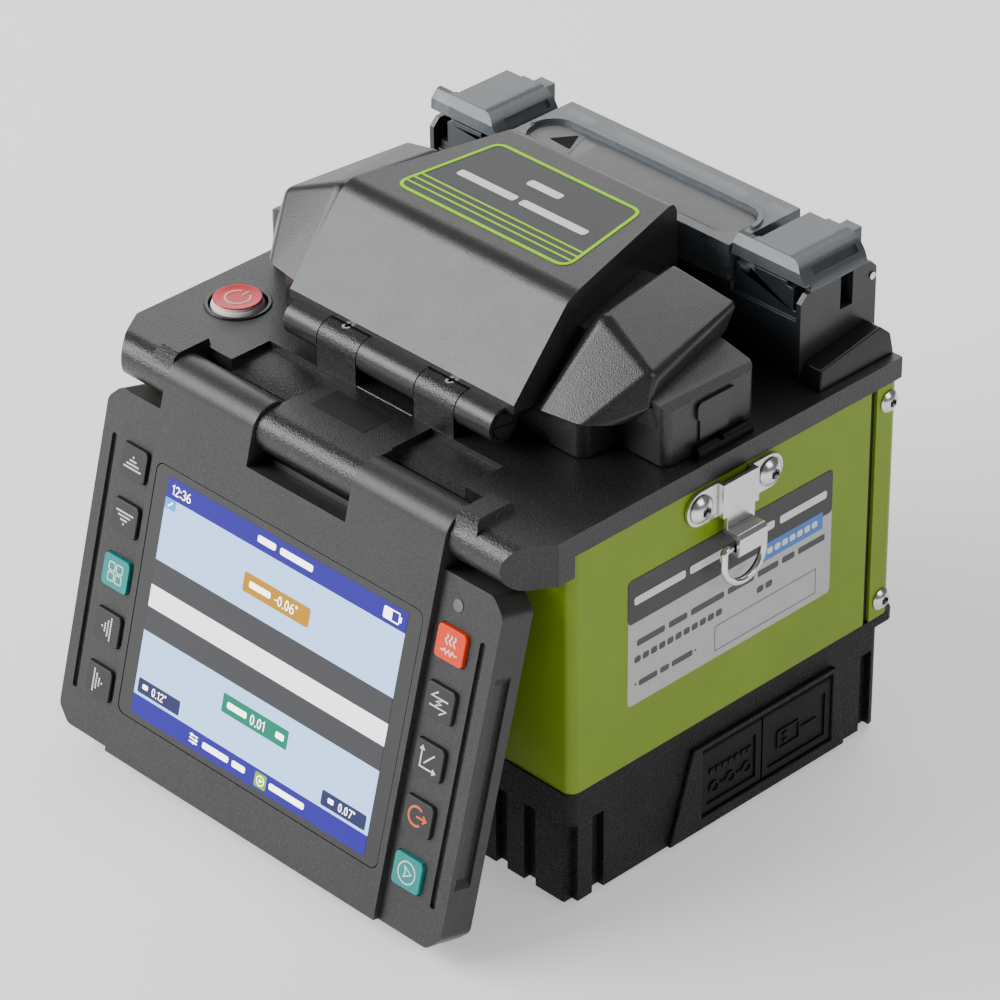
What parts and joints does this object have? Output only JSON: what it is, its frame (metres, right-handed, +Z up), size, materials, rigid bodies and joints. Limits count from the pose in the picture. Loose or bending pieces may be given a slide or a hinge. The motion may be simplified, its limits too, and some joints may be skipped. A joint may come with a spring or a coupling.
{
  "type": "fiber fusion splicer",
  "caption": "Portable fiber fusion splicer: boxy case, fold-out display with side keys, wind cover over the arc, sleeve heater and strap rings.",
  "frame": {"origin": "under the middle of the deck, on the plane that the feet stand on, at the tripod socket's axis", "axes": "+X to the operator's right, -Y towards the operator (display side), +Z up out of the deck"},
  "size_m": [0.1672, 0.1621, 0.1481],
  "materials": {
    "boot_rubber": "matte",
    "soft_rubber": "matte",
    "green_paint": "satin",
    "deck_paint": "satin",
    "cover_paint": "satin",
    "frame_metal": "matte",
    "brass": "satin",
    "steel": "satin",
    "dark_steel": "satin",
    "aluminium": "satin",
    "battery": "matte",
    "board": "matte",
    "copper_wound": "satin",
    "display_plastic": "satin",
    "key_plastic": "satin",
    "key_teal": "satin",
    "key_orange": "satin",
    "window": "gloss",
    "screen": "gloss",
    "led_lens": "gloss",
    "red_cap": "gloss",
    "black_plastic": "satin",
    "ceramic": "matte",
    "optic_black": "matte",
    "smoked": "gloss",
    "heater_black": "satin"
  },
  "bodies": {
    "case": {"base_boot": "boot_rubber", "feet": "soft_rubber", "tripod_insert": "brass", "battery_pack": "battery", "port_frame": "boot_rubber", "green_shell": "green_paint", "rear_shell": "green_paint", "chassis_frame": "frame_metal", "circuit_boards": "board", "arc_transformer": "copper_wound", "shell_screws": "steel", "hanger_brackets": "steel", "hanger_screws": "steel", "deck": "deck_paint", "power_ring": "black_plastic", "display_hinge_pins": "steel", "cover_hinge_pin": "dark_steel", "hinge_set_screws": "steel", "fiber_rests": "soft_rubber", "v_groove_block": "ceramic", "electrodes": "steel", "electrode_holders": "ceramic", "microscopes": "optic_black", "heater_housing": "heater_black", "heater_trough": "aluminium", "heater_plate": "ceramic", "heater_brackets": "dark_steel", "heater_foot_blocks": "black_plastic", "heater_hinge_rod": "steel"},
    "display": {"display_front": "display_plastic", "display_rear": "display_plastic", "display_window": "window", "lcd_panel": "screen", "display_board": "board", "key_mat": "soft_rubber", "status_led": "led_lens"},
    "cover": {"wind_cover": "cover_paint", "cover_pads": "black_plastic"},
    "power_button": {"power_cap": "red_cap"},
    "heater_lid": {"heater_lid": "smoked"},
    "heater_clamp_left": {"heater_clamp_left": "smoked"},
    "heater_clamp_right": {"heater_clamp_right": "smoked"},
    "stage_left": {"stage_left": "aluminium"},
    "stage_right": {"stage_right": "aluminium"},
    "stage_clamp_left": {"stage_clamp_left": "black_plastic"},
    "stage_clamp_right": {"stage_clamp_right": "black_plastic"},
    "d_ring_left": {"d_ring_left": "steel"},
    "d_ring_right": {"d_ring_right": "steel"},
    "port_flap_power": {"port_flap_power": "soft_rubber"},
    "port_flap_data": {"port_flap_data": "soft_rubber"},
    "key_up": {"key_up": "key_plastic"},
    "key_down": {"key_down": "key_plastic"},
    "key_menu": {"key_menu": "key_teal"},
    "key_left": {"key_left": "key_plastic"},
    "key_right": {"key_right": "key_plastic"},
    "key_heat": {"key_heat": "key_orange"},
    "key_arc": {"key_arc": "key_plastic"},
    "key_axis": {"key_axis": "key_plastic"},
    "key_exit": {"key_exit": "key_plastic"},
    "key_play": {"key_play": "key_teal"}
  },
  "joints": [
    {"name": "display_hinge", "type": "hinge", "parent": "case", "child": "display", "pos_m": [0, -0.067, 0.104], "axis": [-1, 0, 0], "range_deg": [-6, 105]},
    {"name": "key_up_press", "type": "slide", "parent": "display", "child": "key_up", "axis": [0, 0.9668, -0.2554], "range_m": [0, 0.0008], "stiffness_N_per_m": 500},
    {"name": "key_down_press", "type": "slide", "parent": "display", "child": "key_down", "axis": [0, 0.9668, -0.2554], "range_m": [0, 0.0008], "stiffness_N_per_m": 500},
    {"name": "key_menu_press", "type": "slide", "parent": "display", "child": "key_menu", "axis": [0, 0.9668, -0.2554], "range_m": [0, 0.0008], "stiffness_N_per_m": 500},
    {"name": "key_left_press", "type": "slide", "parent": "display", "child": "key_left", "axis": [0, 0.9668, -0.2554], "range_m": [0, 0.0008], "stiffness_N_per_m": 500},
    {"name": "key_right_press", "type": "slide", "parent": "display", "child": "key_right", "axis": [0, 0.9668, -0.2554], "range_m": [0, 0.0008], "stiffness_N_per_m": 500},
    {"name": "key_heat_press", "type": "slide", "parent": "display", "child": "key_heat", "axis": [0, 0.9668, -0.2554], "range_m": [0, 0.0008], "stiffness_N_per_m": 500},
    {"name": "key_arc_press", "type": "slide", "parent": "display", "child": "key_arc", "axis": [0, 0.9668, -0.2554], "range_m": [0, 0.0008], "stiffness_N_per_m": 500},
    {"name": "key_axis_press", "type": "slide", "parent": "display", "child": "key_axis", "axis": [0, 0.9668, -0.2554], "range_m": [0, 0.0008], "stiffness_N_per_m": 500},
    {"name": "key_exit_press", "type": "slide", "parent": "display", "child": "key_exit", "axis": [0, 0.9668, -0.2554], "range_m": [0, 0.0008], "stiffness_N_per_m": 500},
    {"name": "key_play_press", "type": "slide", "parent": "display", "child": "key_play", "axis": [0, 0.9668, -0.2554], "range_m": [0, 0.0008], "stiffness_N_per_m": 500},
    {"name": "power_press", "type": "slide", "parent": "case", "child": "power_button", "axis": [0, 0, -1], "range_m": [0, 0.001], "stiffness_N_per_m": 500},
    {"name": "cover_hinge", "type": "hinge", "parent": "case", "child": "cover", "pos_m": [0, -0.041, 0.1173], "axis": [1, 0, 0], "range_deg": [0, 95]},
    {"name": "heater_lid_hinge", "type": "hinge", "parent": "case", "child": "heater_lid", "pos_m": [0, 0.0593, 0.13], "axis": [-1, 0, 0], "range_deg": [0, 95]},
    {"name": "heater_clamp_left_hinge", "type": "hinge", "parent": "case", "child": "heater_clamp_left", "pos_m": [0, 0.0593, 0.13], "axis": [-1, 0, 0], "range_deg": [0, 95]},
    {"name": "heater_clamp_right_hinge", "type": "hinge", "parent": "case", "child": "heater_clamp_right", "pos_m": [0, 0.0593, 0.13], "axis": [-1, 0, 0], "range_deg": [0, 95]},
    {"name": "stage_left_feed", "type": "slide", "parent": "case", "child": "stage_left", "axis": [-1, 0, 0], "range_m": [-0.002, 0.0015]},
    {"name": "stage_clamp_left_hinge", "type": "hinge", "parent": "stage_left", "child": "stage_clamp_left", "pos_m": [-0.022, 0.0055, 0.1127], "axis": [-1, 0, 0], "range_deg": [0, 80]},
    {"name": "d_ring_left_swing", "type": "hinge", "parent": "case", "child": "d_ring_left", "pos_m": [-0.081, -0.0019, 0.0862], "axis": [0, 1, 0], "range_deg": [-18, 110]},
    {"name": "stage_right_feed", "type": "slide", "parent": "case", "child": "stage_right", "axis": [1, 0, 0], "range_m": [-0.002, 0.0015]},
    {"name": "stage_clamp_right_hinge", "type": "hinge", "parent": "stage_right", "child": "stage_clamp_right", "pos_m": [0.022, 0.0055, 0.1127], "axis": [-1, 0, 0], "range_deg": [0, 80]},
    {"name": "d_ring_right_swing", "type": "hinge", "parent": "case", "child": "d_ring_right", "pos_m": [0.081, -0.0019, 0.0862], "axis": [0, -1, 0], "range_deg": [-18, 110]},
    {"name": "port_flap_power_hinge", "type": "hinge", "parent": "case", "child": "port_flap_power", "pos_m": [0.0756, 0.00025, 0.0236], "axis": [0, -1, 0], "range_deg": [0, 100], "stiffness_Nm_per_rad": 0.01},
    {"name": "port_flap_data_hinge", "type": "hinge", "parent": "case", "child": "port_flap_data", "pos_m": [0.0756, 0.0245, 0.0236], "axis": [0, -1, 0], "range_deg": [0, 100], "stiffness_Nm_per_rad": 0.01}
  ]
}
